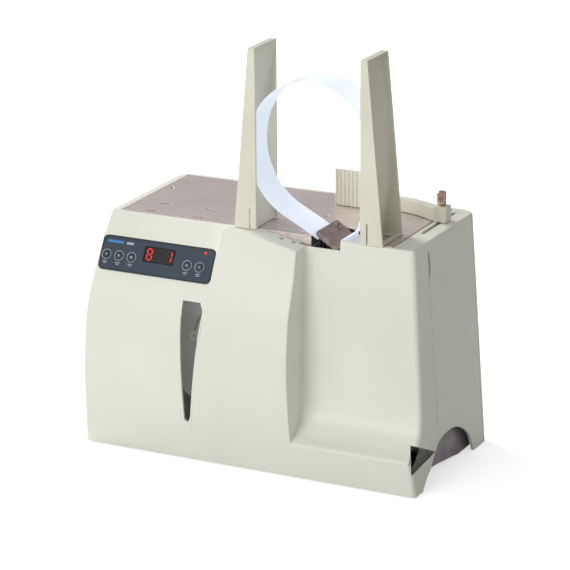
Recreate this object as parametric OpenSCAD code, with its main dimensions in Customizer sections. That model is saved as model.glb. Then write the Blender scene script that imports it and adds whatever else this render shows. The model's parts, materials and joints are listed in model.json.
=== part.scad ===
// Tabletop paper-band banding machine for mail bundles.
// Lengths are in millimetres. Most places are measured from the front bottom edge of the body:
// x = 0 on the middle of the body, y = 0 on the front bottom edge, z = 0 on the table it stands on.
// place() moves them so that the origin is under the middle of the whole machine.

/* [Body] */
// Width of the body at the bottom
body_w = 360; // [356:1:364]
// Inward lean of each side, from the bottom to the table
side_lean = 16.3; // [14:0.1:18]
// Height of the table above the floor
table_h = 236; // [235:1:237]
// Depth of the body behind the front bottom edge
rear_y = 180; // [178:1:184]
// Wall thickness of the plastic covers
wall = 3; // [2.5:0.5:3.5]
// Depth at which the front cover ends
seam_y = 60; // [59:1:61]
// Width of the seams between covers
seam_gap = 0.8; // [0.6:0.1:1]
// Gap between the covers and the floor
floor_gap = 1.5; // [1:0.5:2]

/* [Tape loop] */
// Width of the paper band
tape_w = 39.8; // [39.6:0.1:39.9]
// Half width of the waiting loop
loop_rx = 64.9; // [64:0.1:64.9]
// Half height of the waiting loop
loop_rz = 70; // [69:0.5:70]
// Height of the middle of the loop
loop_z = 317; // [315:1:319]
// Sideways place of the middle of the loop
loop_x = 53.5; // [53:0.5:54]

/* [Guides] */
// Height of the guide tops above the table
guide_h = 178.5; // [176:0.5:182]
// Distance between the open sides of the two guides
guide_gap = 110; // [109.5:0.5:110.5]
// Width of a guide at its foot
guide_foot_w = 22.5; // [22:0.5:23]
// Width of a guide at its top
guide_top_w = 7.5; // [7:0.5:8]

/* [Press] */
// Lift of the presses over the whole turn of the cams
press_lift = 6; // [5:0.5:6]
// Turn of the cam shaft in degrees
cam_turn = 120; // [110:1:120]
// Gear module
gear_module = 1.5; // [1.5:0.1:1.5]
// Teeth of the cam gear
cam_teeth = 40; // [40:1:40]
// Teeth of the motor pinion
pinion_teeth = 14; // [14:1:14]

/* [Hidden] */
$fn = 48;

big = 600;                                   // longer than the whole machine
front_to_centre = 85.1;                     // from the front bottom edge to the origin
lean_deg = atan(side_lean / table_h);
corner_r = 15;                               // rear corners in plan
top_w_half = body_w / 2 - side_lean;         // half width of the body at the table

// Front outlines as [y, z], from the bottom up
left_outline = [[0, 0], [-10, 69], [-12.5, 118], [-8, 157], [13, 203], [34, 236]];
column_outline = [[0, 0], [-10, 69], [-12.6, 118], [-8.6, 157], [-4.5, 172], [4.5, 200], [12, 236]];
recess_outline = [[0, 0], [-2, 20], [-5.06, 33], [-4.2, 38], [6, 44], [17, 55], [22, 68], [24, 93],
    [27, 160], [30, 236]];
lip_z = 33;                                    // below this the recess is flush with the column
column_left_x = -31;                         // left edge of the column at the table
column_lean = 0.1452;                        // sideways run of that edge per millimetre down
column_right_x = 50;                         // the column's right face, where the recess begins
rim_slope_x = 5;                             // where the rim of the column starts to fall
rim_low_z = 226.5;                           // height of the rim at the column's right face
notch_right_x = 87;                          // right end of the head notch in the rim

// Opening for the table plate
opening_left = -154;
opening_right = 140.5;
opening_front = 34;
opening_back = 173.6;
table_gap = 1;
table_t = 2;

// Window and control panel in the front cover
window_left = -65;
window_low = 42;
window_high = 166;
panel_tilt = 29.7;                           // backward tilt of the control panel
panel_mid = [-102, 10.6, 198.6];
panel_size = [124, 34.5];
panel_t = 1.6;
button_r = 4;

// Hinge of the front cover, on the left wall
hinge_out = 2.4;                             // distance of the hinge axis outside the wall
hinge_r = 2.3;
hinge_pin_r = 1.1;
hinge_heights = [80, 172];
hinge_l = 34;

// Tape roll
spool_mid = [-40.5, 118];                    // x and z of the roll's axis
tape_y0 = 31.9;                              // front edge of the tape
hub_r = 29.6;
roll_r = 75;
plate_y = 76;                                // front face of the mechanism plate
plate_t = 3;

// Feed rollers
feed_mid = [53.3, 196];
feed_r = 9;
pinch_r = 8;
nip = 0.5;                                    // gap between the two rollers
pinch_mid = [feed_mid[0] - feed_r - pinch_r - nip, feed_mid[1]];
pinch_pivot = [30, 166];

// Cams and presses
cam_mid = [74.5, 132.5];
cam_rest_r = 22;                             // cam radius under a follower at rest
cam_rise = press_lift / cam_turn;            // cam rise per degree
follower_r = 4;
press_top = 214.1;
anvil_low = 221;
follower_z = cam_mid[1] + cam_rest_r + 0.3 + follower_r;
gear_distance = gear_module * (cam_teeth + pinion_teeth) / 2;
// x range and y place of each press
press_x = [[63.5, 69], [70.5, 78], [79.5, 85]];
press_y = [40, 52, 64];
cam_t = 5;

// Posts that hold the loop
guide_y0 = 27.8;
guide_depth = 46.6;
guide_wall = 2.4;
guide_web = 1.2;
guide_web_r = 397;                           // the web bulges outward on a large arc
guide_web_bulge = 10.7;                      // of the web's inner face, at the middle of the loop
tab_x = 11.5;                                // of a guide's tabs, from its open side
tab_y = [44, 66];

// Back stop
fence_y = 137;
fence_x = [30, 92];
fence_h = 37;
clamp_x = 146.7;
clamp_y = 131.5;
slot_w = 3.9;
slot_y = [86, 174];

sheet_color = "#b4a8a5";
shell_color = "#e2e3d5";
dark_color = "#4a4340";
steel_color = "#9a9a9a";

// ---- helpers -------------------------------------------------------------------------------

// Moves a part from the front edge frame to the machine's own frame
module place() translate([0, -front_to_centre, 0]) children();

// A point on a Catmull-Rom curve through a, b, c, d, between b and c
function curve_point(a, b, c, d, t) =
    0.5 * (2 * b + (c - a) * t + (2 * a - 5 * b + 4 * c - d) * t * t
    + (3 * b - a - 3 * c + d) * t * t * t);

// A smooth path through the points p, with n steps between neighbours
function smooth_path(p, n) = let (last = len(p) - 1)
    concat([for (i = [0 : last - 1], k = [0 : n - 1])
        curve_point(p[max(i - 1, 0)], p[i], p[i + 1], p[min(i + 2, last)], k / n)], [p[last]]);

// An arc from angle a0 to a1 in n steps
function arc(mid, r, a0, a1, n) = [for (i = [0 : n])
    mid + r * [cos(a0 + (a1 - a0) * i / n), sin(a0 + (a1 - a0) * i / n)]];

// Extrudes a [y, z] outline along x
module along_x(x0, x1) translate([x0, 0, 0]) rotate([90, 0, 90])
    linear_extrude(height = x1 - x0) children();

// Extrudes an [x, z] outline along y
module along_y(y0, y1) translate([0, y1, 0]) rotate([90, 0, 0])
    linear_extrude(height = y1 - y0) children();

// A box between two corners
module box(a, b) translate(a) cube(b - a);

// A cylinder along y, around [x, z]
module rod_y(mid, r, y0, y1) translate([mid[0], y0, mid[1]]) rotate([-90, 0, 0])
    cylinder(r = r, h = y1 - y0);

// A cylinder along z
module rod_z(mid, r, z0, z1) translate([mid[0], mid[1], z0]) cylinder(r = r, h = z1 - z0);

// A rounded rectangle
function round_rect(w, h, r) = concat(
    arc([w / 2 - r, h / 2 - r], r, 0, 90, 5), arc([r - w / 2, h / 2 - r], r, 90, 180, 5),
    arc([r - w / 2, r - h / 2], r, 180, 270, 5), arc([w / 2 - r, r - h / 2], r, 270, 360, 5));

// The body's plan as a prism whose right face leans inward, set in by t
module leaning_prism(t) translate([body_w / 2 - t, 0, 0]) rotate([0, -lean_deg, 0])
    translate([0, 0, -50]) linear_extrude(height = 350)
        polygon(concat([[-big, -60], [0, -60]],
            arc([-corner_r, rear_y - t - corner_r], corner_r, 0, 90, 6), [[-big, rear_y - t]]));

// The block of the body, set in by t, between two heights
module body_block(t, low, high) intersection() {
    leaning_prism(t);
    mirror([1, 0, 0]) leaning_prism(t);
    box([-big, -60, low], [big, rear_y + 60, high]);
}

// Everything behind a front outline that is moved back by t
module behind(outline, t, x0, x1) along_x(x0, x1)
    polygon(concat([for (q = smooth_path(outline, 5)) q + [t, 0]],
        [[outline[len(outline) - 1][0] + t, 260], [100, 260], [100, -60], [outline[0][0] + t, -60]]));

// Everything right of the column's slanted left edge, from the front
module right_of_column_edge(t) along_y(-40, 100)
    polygon([[column_left_x + t + column_lean * 30, table_h + 30],
        [column_left_x + t - column_lean * (table_h + 40), -40],
        [column_right_x - t, -40], [column_right_x - t, table_h + 30]]);

// Everything left of that edge, running a little way into the column
module left_of_column_edge(t) along_y(-40, 100)
    polygon([[-big, table_h + 30], [column_left_x + t + 2 + column_lean * 30, table_h + 30],
        [column_left_x + t + 2 - column_lean * (table_h + 40), -40], [-big, -40]]);

// Everything under the rim of the front cover, lowered by t
module under_rim(t) along_y(-40, 100)
    polygon([[-big, -60], [-big, table_h - t], [rim_slope_x, table_h - t],
        [column_right_x, rim_low_z - t], [column_right_x, table_h - t],
        [big, table_h - t], [big, -60]]);

// The front part of the body, set in by t
module front_block(t) intersection() {
    body_block(t, t > 0 ? -20 : floor_gap, table_h);
    union() {
        intersection() {
            behind(left_outline, t, -big / 2, 0);
            left_of_column_edge(t);
        }
        intersection() {
            behind(column_outline, t, -big / 2, big / 2);
            right_of_column_edge(t);
        }
        behind(recess_outline, t, column_right_x - (t > 0 ? t + 1 : 0), big / 2);
        intersection() {
            behind(column_outline, t, column_right_x - t - 1, big / 2);
            box([0, -60, -20], [big, big, lip_z - t]);
        }
    }
    under_rim(t);
    box([-big, -60, -20], [big, seam_y - (t > 0 ? -5 : seam_gap / 2), 300]);
}

// Opening for the table plate through the top of the covers
module table_opening() box([opening_left, opening_front, table_h - wall - 6],
    [opening_right, opening_back, table_h + 5]);

// Arch under both side walls, as [y, z] points
arch_outline = [[20, 0], [30, 9], [44, 23], [60, 37], [80, 41], [100, 39.5], [118, 32], [131, 22],
    [137, 11], [141, 0]];
module side_arch() for (x = [-body_w / 2 - 5, body_w / 2 - 25]) along_x(x, x + 30)
    polygon(concat([for (q = smooth_path(arch_outline, 4)) q], [[141, -20], [20, -20]]));

// Places on the slanted control panel: x along it, y up it, z out of it
module on_panel() translate(panel_mid) rotate([90 - panel_tilt, 0, 0]) children();

// Places on the left wall: x out of it, y to the back, z up it
module on_left_wall() mirror([1, 0, 0]) translate([body_w / 2, 0, 0])
    rotate([0, -lean_deg, 0]) children();

// ---- covers --------------------------------------------------------------------------------

module front_cover() place() color(shell_color) difference() {
    front_block(0);
    front_block(wall);
    table_opening();
    side_arch();
    // notch for the head
    box([column_right_x, -20, rim_low_z], [notch_right_x, 60, table_h + 5]);
    window_hole(0);
    // seat and cable opening of the control panel
    on_panel() translate([0, 0, -panel_t]) linear_extrude(height = 12)
        polygon(round_rect(panel_size[0] + 0.6, panel_size[1] + 0.6, 5.3));
    on_panel() translate([0, 0, -9]) linear_extrude(height = 10)
        polygon(round_rect(panel_size[0] - 4, panel_size[1] - 4, 3));
    // room for the head: the rim ends at the table, and the wall behind the notch is thinner
    box([rim_slope_x, opening_front, 214], [column_right_x + 0.1, seam_y, table_h + 5]);
    box([43, tape_y0 - 0.3, 180], [98, tape_y0 + 8, table_h - wall - 1]);
    // sensor holes in the rim
    for (q = sensor_places) rod_z(q, 2.2, table_h - 12, table_h + 5);
}

sensor_places = [[25.5, 28], [38, 29.5]];

// The window's outline, set in by t
function window_edge_x(z, t) = column_left_x - column_lean * (table_h - z) - t;
module window_outline(t) polygon([
    [window_left + t, window_high - t], [window_left + t, window_low + t + 3],
    [window_left + t + 1, window_low + t + 1], [window_left + t + 3, window_low + t],
    [window_edge_x(window_low, t) - 1.5, window_low + t],
    [window_edge_x(window_low + 6, t), window_low + t + 6],
    [window_edge_x(window_high - 8, t), window_high - t - 8],
    [window_edge_x(window_high, t) - 5, window_high - t]]);
module window_hole(t) along_y(-30, 20) window_outline(t);

module side_shell() difference() {
    intersection() {
        difference() {
            body_block(0, floor_gap, table_h);
            body_block(wall, -20, table_h - wall);
        }
        box([0, seam_y + seam_gap / 2, -5], [big, rear_y - corner_r - seam_gap / 2, 300]);
    }
    side_arch();
}

// Finger notch in the edge of the right side cover, beside the seam
module finger_notch() translate([top_w_half, seam_y, 214])
    rotate([0, 90, 0]) intersection() {
        translate([0, -21, -12]) cylinder(r = 26, h = 24);
        translate([-16, 0, -12]) cube([32, 10, 24]);
    }

module right_side_cover() place() color("#a59f93") difference() {
    side_shell();
    table_opening();
    box([clamp_x - slot_w / 2, slot_y[0], table_h - 10], [clamp_x + slot_w / 2, slot_y[1] - 9, table_h + 5]);
    finger_notch();
    box([-5, 0, -5], [opening_right, 300, 300]);
}

module left_side_cover() place() color(shell_color) difference() {
    mirror([1, 0, 0]) side_shell();
    table_opening();
    box([opening_left, 0, -5], [5, 300, 300]);
}

module rear_cover() place() color(shell_color) difference() {
    intersection() {
        difference() {
            body_block(0, floor_gap, table_h);
            body_block(wall, -20, table_h - wall);
        }
        box([-big, rear_y - corner_r + seam_gap / 2, -5], [big, rear_y + 5, 300]);
    }
    table_opening();
    for (i = [0 : 7]) for (x = [-60, 30]) box([x, rear_y - 10, 150 + i * 7],
        [x + 60, rear_y + 5, 153.5 + i * 7]);
    for (q = screw_places) rod_y(q, screw_r + 0.05, rear_y - 10, rear_y + 5);
    box([inlet_mid[0] - 14.2, rear_y - 10, inlet_mid[1] - 12.2],
        [inlet_mid[0] + 14.2, rear_y + 5, inlet_mid[1] + 12.2]);
    box([switch_mid[0] - 6.7, rear_y - 10, switch_mid[1] - 9.7],
        [switch_mid[0] + 6.7, rear_y + 5, switch_mid[1] + 9.7]);
}

module cover_screws() place() color("#77736c") for (q = screw_places) {
    rod_y(q, 2 * screw_r, rear_y, rear_y + 1.8);
    rod_y(q, screw_r, rear_y - 9, rear_y);
}
screw_r = 1.7;
screw_places = [for (x = [-150, 150], z = [18, 100]) [x, z]];

module base_tray() place() color(sheet_color) difference() {
    union() {
        box([-167.6, 14, 8], [167.6, 162, 10]);
        box([-164, 14, 8], [164, 16, 22]);
        box([-164, 160, 8], [164, 162, 22]);
    }
    for (x = foot_x, y = foot_y) rod_z([x, y], 2.2, 0, 20);
}
foot_x = [-140, 140];
foot_y = [28, 150];

module rubber_feet() place() color("#2c2a28") for (x = foot_x, y = foot_y) {
    rod_z([x, y], 10, 0, 8);
    rod_z([x, y], 2.1, 8, 12);
}

chassis_front = 38;
chassis_inset = 10;                          // gap from the outside of a side cover to the plate
module chassis_side() intersection() {
    translate([body_w / 2, 0, 0]) rotate([0, -lean_deg, 0])
        along_x(-chassis_inset - 1.6, -chassis_inset)
            polygon([[chassis_front, 12], [74, 9], [108, 4.5], [125, 2], [160, 2], [160, 260],
                [chassis_front, 260]]);
    box([0, 0, -5], [big, big, table_h - wall - 0.5]);
}
module chassis_sides() place() color(sheet_color) {
    chassis_side();
    mirror([1, 0, 0]) chassis_side();
}

module mechanism_plate() place() color("#a8a8a6") difference() {
    union() {
        box([-150.5, plate_y, 10], [150.5, plate_y + plate_t, 232]);
        box([-148, plate_y, 230], [136, plate_y + plate_t, table_h - table_t - 0.02]);
    }
    box([52, plate_y - 1, 216], [98, plate_y + 5, 240]);
    rod_y(spool_mid, 6.05, 70, 90);
    rod_y(feed_mid, 6, 70, 90);
    rod_y(pinch_pivot, 3.05, 70, 90);
    rod_y(cam_mid, 9.5, 70, 90);
    for (x = [-120, 120], z = [40, 200]) rod_y([x, z], 8, 70, 90);
}

module table_plate() place() color(sheet_color) difference() {
    union() {
        box([opening_left + table_gap, opening_front + 0.6, table_h - table_t],
            [opening_right - 1.7, opening_back - table_gap, table_h]);
        box([opening_left + table_gap, opening_front + 0.6, table_h - 12],
            [opening_right - 1.7, opening_front + 0.6 + table_t, table_h]);
    }
    // opening for the head
    box([54, 20, table_h - 20], [94, 75.5, table_h + 5]);
    // slots for the guides' tabs, in rows
    for (x = [-124.5, -73]) for (y = [44, 71]) table_slot([x, y]);
    for (x = [loop_x - guide_gap / 2 - tab_x, loop_x + guide_gap / 2 + tab_x])
        for (y = tab_y) table_slot([x, y]);
    table_slot([40, 44]);
    rod_z([38, 100], 2, table_h - 9, table_h + 9);
    rod_z([-146, 124], 2, table_h - 9, table_h + 9);
}
module table_slot(q) translate([q[0], q[1], table_h - 9]) linear_extrude(height = 18)
    polygon(round_rect(12, 3, 1.49));

// ---- front cover's fittings ----------------------------------------------------------------

module leaf(y0, y1, sections) union() {
    for (h = hinge_heights) {
        on_left_wall() box([0.02, y0, h], [1.1, y1, h + hinge_l]);
        for (k = sections) difference() {
            on_left_wall() union() {
                translate([hinge_out, seam_y, h + k * hinge_l / 5 + 0.15])
                    cylinder(r = hinge_r, h = hinge_l / 5 - 0.3);
                box([0.1, min(seam_y, (y0 + y1) / 2), h + k * hinge_l / 5 + 0.15],
                    [1.1, max(seam_y, (y0 + y1) / 2), h + (k + 1) * hinge_l / 5 - 0.15]);
            }
            on_left_wall() translate([hinge_out, seam_y, h - 1])
                cylinder(r = hinge_pin_r + 0.05, h = hinge_l + 2);
        }
    }
}
module door_hinge_leaves() place() color(steel_color) leaf(seam_y - 16, seam_y - 3.2, [0, 2, 4]);
module body_hinge_leaves() place() color(steel_color) leaf(seam_y + 3.2, seam_y + 16, [1, 3]);
module hinge_pins() place() color(steel_color) for (h = hinge_heights)
    on_left_wall() translate([hinge_out, seam_y, h - 0.5])
        cylinder(r = hinge_pin_r, h = hinge_l + 1);

module window_pane() place() color("#6a6a66", 0.6) intersection() {
    difference() {
        behind(left_outline, 1, -90, -20);
        behind(left_outline, 2.6, -91, -19);
    }
    along_y(-30, 20) window_outline(0.25);
}

module control_panel() place() color("#33404f") on_panel() translate([0, 0, -panel_t + 0.05])
    difference() {
        linear_extrude(height = panel_t) polygon(round_rect(panel_size[0], panel_size[1], 5));
        for (q = button_places) translate([q[0], q[1], -1]) cylinder(r = button_r + 0.25, h = 5);
        translate([display_mid[0] - 17, display_mid[1] - 7.8, -1]) cube([34, 15.6, 5]);
        translate([lamp_place[0], lamp_place[1], -1]) cylinder(r = 1.6, h = 5);
    }
button_places = [[-55.3, -2.5], [-41.4, -2.5], [-27.5, -2.5], [34, -2.5], [47.8, -2.5]];
display_mid = [2.1, 3.4];
lamp_place = [51.3, 12.5];

module display_window() place() color("#2a0f10") on_panel()
    translate([display_mid[0] - 16.8, display_mid[1] - 7.6, -panel_t]) cube([33.6, 15.2, 1.4]);

module panel_board() place() color("#2f5d3a") on_panel() {
    translate([-56, -12, -9]) cube([112, 24, 1.5]);
    translate([display_mid[0] - 16, display_mid[1] - 7, -7.5]) cube([32, 14, 5.7]);
    for (q = button_places) translate([q[0] - 3, q[1] - 3, -7.5]) cube([6, 6, 2]);
    for (x = [-48, 46], y = [-10.3, 10.3]) translate([x, y, -7.5]) cylinder(r = 1.5, h = 5.8);
}

module indicator_lamp() place() color("#b0231e") on_panel()
    translate([lamp_place[0], lamp_place[1], -5]) cylinder(r = 1.5, h = 5.6);

// A push button, cap and stem, that rests 0.6 mm proud of the panel
module push_button(q) place() color("#5d6b7c") on_panel() translate([q[0], q[1], 0]) {
    translate([0, 0, -1.4]) cylinder(r = button_r, h = 2);
    translate([0, 0, -4.6]) cylinder(r = 1.8, h = 3.3);
}
module start_button() push_button(button_places[0]);
module stop_button() push_button(button_places[1]);
module feed_button() push_button(button_places[2]);
module heat_button() push_button(button_places[3]);
module tension_button() push_button(button_places[4]);

module sensor_lenses() place() color("#1c1c1e") {
    rod_z(sensor_places[0], 2.15, table_h - 9, table_h - 4.9);
    rod_z(sensor_places[1], 2.15, table_h - 12, table_h - 7.5);
}

// ---- loop guides and head ------------------------------------------------------------------

// A guide whose open side is the plane x = 0 and which widens to -x
module guide_body() {
    // the curved web that backs the loop
    module web_outline() difference() {
        translate([guide_web_r - guide_web_bulge, loop_z]) difference() {
            circle(r = guide_web_r + guide_web, $fn = 360);
            circle(r = guide_web_r, $fn = 360);
        }
        translate([1, 0]) square([900, 900]);
    }
    module face_outline() polygon([[0, table_h + 0.3], [0, table_h + guide_h],
        [-guide_top_w, table_h + guide_h], [-guide_foot_w - 1, table_h + 0.3]]);
    difference() {
        along_y(guide_y0, guide_y0 + guide_depth) face_outline();
        along_y(guide_y0 + guide_wall, guide_y0 + guide_depth - guide_wall) difference() {
            polygon([[1, table_h], [1, table_h + guide_h - 1.6], [-guide_top_w - 1, table_h + guide_h - 1.6],
                [-guide_foot_w - 3, table_h]]);
            web_outline();
        }
        // stress relief slit in the front face
        box([-7.6, guide_y0 - 1, table_h], [-6.4, guide_y0 + guide_wall + 1, table_h + 21]);
    }
    // tabs that drop into the table's slots
    for (y = tab_y) box([-tab_x - 5.2, y - 1.2, table_h - 6], [-tab_x + 5.2, y + 1.2, table_h + 0.4]);
    for (y = tab_y) box([-tab_x - 5.5, y - 2.2, table_h + 0.3], [-tab_x + 5.5, y + 2.2, table_h + 1.8]);
    difference() {
        box([-guide_foot_w, guide_y0 + 1, table_h + 0.3], [-0.5, guide_y0 + guide_depth - 1, table_h + 1.5]);
        box([-tab_x - 5.5, guide_y0 + 6, table_h], [5, guide_y0 + guide_depth - 6, table_h + 2]);
    }
}
module left_guide() place() color("#d6d4c3") translate([loop_x - guide_gap / 2, 0, 0]) guide_body();
module right_guide() place() color("#d6d4c3") translate([loop_x + guide_gap / 2, 0, 0])
    mirror([1, 0, 0]) guide_body();

// The path of the tape's visible part as [x, z]: head, left side, top, right side, head
function quad(a, b, c, t) = a * (1 - t) * (1 - t) + b * 2 * t * (1 - t) + c * t * t;
loop_mid = [loop_x, loop_z];
function loop_point(a) = loop_mid + [loop_rx * cos(a), loop_rz * sin(a)];
tape_path = concat(
    [for (i = [0 : 7]) quad([62.5, 234], [46, 243.5], loop_point(243), i / 8)],
    [for (i = [0 : 56]) loop_point(243 - (243 + 22) * i / 56)],
    [for (i = [1 : 8]) quad(loop_point(-22), [108.5, 252], [98, 242.6], i / 8)],
    [for (i = [1 : 3]) quad([98, 242.6], [92, 238.6], [88.4, 237.2], i / 3)],
    [for (i = [1 : 6]) quad([88.4, 237.2], [86.2, 237.2], [86.2, 232], i / 6)],
    [for (i = [1 : 8]) quad([86.2, 232], [86.2, 220.4], [82.5, 220.4], i / 8)],
    [[64, 220.4]]);
function path_dir(p, i) = let (d = p[min(i + 1, len(p) - 1)] - p[max(i - 1, 0)]) d / norm(d);
function path_side(p, t) = [for (i = [0 : len(p) - 1])
    let (d = path_dir(p, i)) p[i] + t * [-d[1], d[0]]];
tape_t = 0.3;
module tape_loop() place() color("#f4f4f2") along_y(tape_y0, tape_y0 + tape_w)
    polygon(concat(path_side(tape_path, tape_t / 2),
        [for (q = [for (i = [len(tape_path) - 1 : -1 : 0]) path_side(tape_path, -tape_t / 2)[i]]) q]));

module tape_fin() place() color("#cfcabb") difference() {
    box([88.8, 72, cap_foot_z[1] + 0.02], [93.8, 75.2, 274]);
    box([90.4, 71, 240], [91.8, 76, 270]);
}

// Dark cap over the anvil: a roof that falls to the right, a back wall and a foot on the plate
cap_x = [60.5, 82.6];
cap_wall_y = [72.1, 75];
cap_foot_z = [224.3, 226.5];
module head_cap() place() color(dark_color) {
    along_y(tape_y0 - 0.2, cap_wall_y[1]) polygon([[cap_x[0], 238], [cap_x[0], 241.2], [61.6, 242.2],
        [63, 241.9], [cap_x[1], 228.6], [cap_x[1], 225.4], [81, 224.4], [62, 236.4]]);
    along_y(cap_wall_y[0], cap_wall_y[1]) polygon([[cap_x[0], 238], [cap_x[1], 226],
        [cap_x[1], cap_foot_z[0]], [cap_x[0], cap_foot_z[0]]]);
    box([49, cap_wall_y[0], cap_foot_z[0]], [101, plate_y, cap_foot_z[1]]);
    for (x = [64, 69]) box([x, 63, 237], [x + 3.4, 69, 243.4 - (x - 62) * 0.55]);
}

// Comb of thin fins under the front of the cap
module head_fins() place() color("#6b6460") difference() {
    for (i = [0 : 4]) along_y(tape_y0 + 0.6, 66) translate([63.4 + i * 3.6, 0])
        polygon([[0, 224.2], [1.4, 224.2], [1.4, 234.4 - i * 2.274], [0, 235.3 - i * 2.274]]);
    box([58, 38, 220], [90, 62, 240]);
}

module anvil_blade() place() color("#b9b9bb") {
    box([61, 33, anvil_low], [83.2, 68, anvil_low + 2.4]);
    box([65.5, 67, anvil_low], [82, 96, anvil_low + 2.4]);
}

// Press number i: block, stem and a round foot over its cam
module press(i) union() {
    x0 = press_x[i][0];
    x1 = press_x[i][1];
    y = press_y[i];
    box([x0, 33, press_top - 7], [x1, 61.5, press_top]);
    box([x0, y - 3.5, follower_z], [x1, y + 3.5, press_top - 6]);
    box([min(x0, cam_mid[0]), y - 2.3, follower_z], [max(x1, cam_mid[0]), y + 2.3, follower_z + 7]);
    rod_y([cam_mid[0], follower_z], follower_r, y - 2.3, y + 2.3);
}
module left_gripper() place() color("#8f8f92") press(0);
module heater_press() place() color("#a07c4a") union() {
    press(1);
    box([73.6, 33, press_top - 0.1], [75, 61.5, press_top + 0.1]);
}
module right_gripper() place() color("#8f8f92") press(2);

module press_guide() place() color("#9a9c9e") difference() {
    box([61.5, 33.5, 172.6], [88, plate_y, 186.4]);
    for (i = [0 : 2]) box([press_x[i][0] - 0.3, press_y[i] - 3.8, 170],
        [press_x[i][1] + 0.3, press_y[i] + 3.8, 190]);
}

// ---- cams and gears ------------------------------------------------------------------------

// Cam radius at an angle from the top towards -x
function cam_radius(a) = a <= cam_turn + 15 ? cam_rest_r + cam_rise * a
    : cam_rest_r + cam_rise * (cam_turn + 15)
        - cam_rise * (cam_turn + 30) * (a - cam_turn - 15) / (330 - cam_turn);
module cam_disc(y) along_y(y - cam_t / 2, y + cam_t / 2) translate(cam_mid) difference() {
    polygon([for (a = [-15 : 5 : 340]) cam_radius(a) * [-sin(a), cos(a)]]);
    circle(r = 6.02);
}
module cam_shaft() place() color(steel_color) rod_y(cam_mid, 6, 30, 92);
module press_cams() place() color("#77777a") for (y = press_y) cam_disc(y);
module cam_bearings() place() color("#b8b8ba") difference() {
    union() {
        rod_y(cam_mid, 9.5, plate_y, plate_y + plate_t);
        box([cam_mid[0] - 12, 30.5, 10], [cam_mid[0] + 12, 33.5, cam_mid[1] + 11]);
        box([cam_mid[0] - 12, 33.5, 10], [cam_mid[0] + 12, 76, 12]);
    }
    rod_y(cam_mid, 6.05, 20, 100);
}

// Involute gear outline with some backlash
function involute(rb, t) = rb * [cos(t) + t * PI / 180 * sin(t), sin(t) - t * PI / 180 * cos(t)];
function involute_at(rb, r) = sqrt(max(0, r * r / (rb * rb) - 1)) * 180 / PI;
function turned(p, a) = [p[0] * cos(a) - p[1] * sin(a), p[0] * sin(a) + p[1] * cos(a)];
function gear_outline(z, m) = let (rp = z * m / 2, rb = rp * cos(20), ra = rp + m,
    rd = rp - 1.25 * m, pt = involute_at(rb, rp), pv = involute(rb, pt),
    at_pitch = atan2(pv[1], pv[0]), half = 90 / z - 0.06 * 180 / PI / rp + at_pitch,
    t0 = involute_at(rb, max(rb, rd)), t1 = involute_at(rb, ra))
    [for (i = [0 : z - 1]) let (c = i * 360 / z) each concat(
        [turned([rd, 0], c - half)],
        [for (k = [0 : 3]) turned(involute(rb, t0 + (t1 - t0) * k / 3), c - half)],
        [for (k = [3 : -1 : 0]) let (p = involute(rb, t0 + (t1 - t0) * k / 3))
            turned([p[0], -p[1]], c + half)],
        [turned([rd, 0], c + half)])];
gear_y = [82, 88];
module cam_gear() place() color("#b9a36a") along_y(gear_y[0], gear_y[1]) translate(cam_mid)
    difference() {
        polygon(gear_outline(cam_teeth, gear_module));
        circle(r = 6.02);
        for (a = [0 : 60 : 300]) translate(16 * [cos(a), sin(a)]) circle(r = 5);
    }
motor_mid = cam_mid + [gear_distance, 0];
module motor_pinion() place() color("#c8b878") difference() {
    along_y(gear_y[0], gear_y[1]) translate(motor_mid)
        rotate(180 - 180 / pinion_teeth) polygon(gear_outline(pinion_teeth, gear_module));
    rod_y(motor_mid, 3.02, 80, 90);
}
module cam_motor() place() color("#6f7276") difference() {
    union() {
        rod_y(motor_mid, 18, 92, 150);
        rod_y(motor_mid, 6, 90, 92.5);
        for (a = [-90, 0, 90]) rod_y(motor_mid + 14 * [cos(a), sin(a)], 2, plate_y + plate_t, 92.5);
    }
    rod_y(motor_mid, 3.02, 80, 91);
}
// ---- tape feed -----------------------------------------------------------------------------

module feed_shaft() place() color(steel_color) rod_y(feed_mid, 3, tape_y0, 84);
module feed_roller() place() color("#2f2d2c") difference() {
    rod_y(feed_mid, feed_r, tape_y0, 71.7);
    rod_y(feed_mid, 3.02, 30, 72);
}
module feed_motor() place() color("#3c3e42") difference() {
    box([feed_mid[0] - 21, plate_y + plate_t, feed_mid[1] - 21],
        [feed_mid[0] + 12, plate_y + plate_t + 40, feed_mid[1] + 19]);
    rod_y(feed_mid, 3.05, 78, 86);
}
module pinch_arm() place() color("#8d9093") {
    along_y(72, 75) {
        translate(pinch_pivot) circle(r = 6);
        translate(pinch_mid) circle(r = 5);
        polygon([pinch_pivot + [-6, 0], pinch_pivot + [6, 0], pinch_mid + [5, 0], pinch_mid + [-5, 0]]);
    }
    rod_y(pinch_mid, 2.5, tape_y0, 73);
    rod_y(pinch_pivot, 3, 74, plate_y + plate_t + 3);
}
module pinch_roller() place() color("#c9c9c6") difference() {
    rod_y(pinch_mid, pinch_r, tape_y0, 71.7);
    rod_y(pinch_mid, 2.55, 30, 72);
}
module tape_chute() place() color(sheet_color) {
    along_y(33.4, plate_y) polygon([[46.2, 206.5], [58.2, 221.5], [59.4, 221.5], [59.4, 219], [49.6, 206.5]]);
    along_y(33.4, plate_y) polygon([[38.5, 206.5], [42.8, 206.5], [53.4, 223.2], [50.2, 223.2]]);
}

// ---- tape roll -----------------------------------------------------------------------------

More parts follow.
